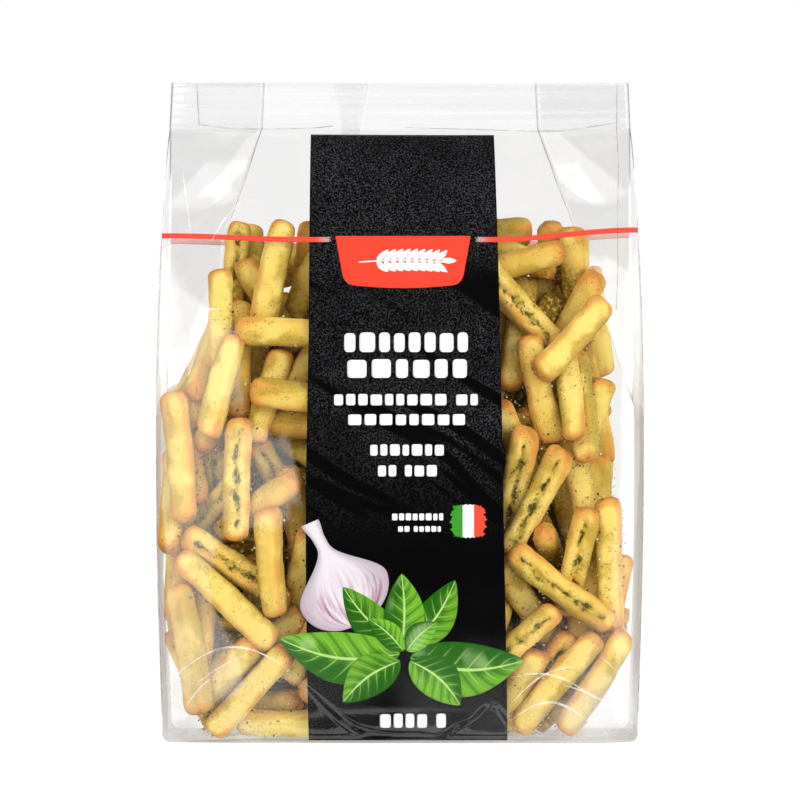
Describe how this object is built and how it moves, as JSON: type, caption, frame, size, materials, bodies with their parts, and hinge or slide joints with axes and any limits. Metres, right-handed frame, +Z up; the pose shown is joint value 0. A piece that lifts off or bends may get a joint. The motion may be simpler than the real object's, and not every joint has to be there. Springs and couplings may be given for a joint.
{
  "type": "bag of breadsticks",
  "caption": "Sealed clear film bag of short herb breadsticks, standing on a squared base, with tucked side folds and a crimped top seal.",
  "frame": {"origin": "middle of the base, on the surface that the bag stands on", "axes": "+Z up to the crimped seal, +X to the right across the front, -Y out of the printed front"},
  "size_m": [0.1478, 0.0648, 0.2],
  "materials": {
    "film": "clear glossy film, see-through",
    "breadstick": "golden baked dough, dry and matte",
    "herbs": "dark dried herbs",
    "print": "ink printed on the inside of glossy film"
  },
  "bodies": {
    "root": {"bag": "film"}
  },
  "joints": []
}
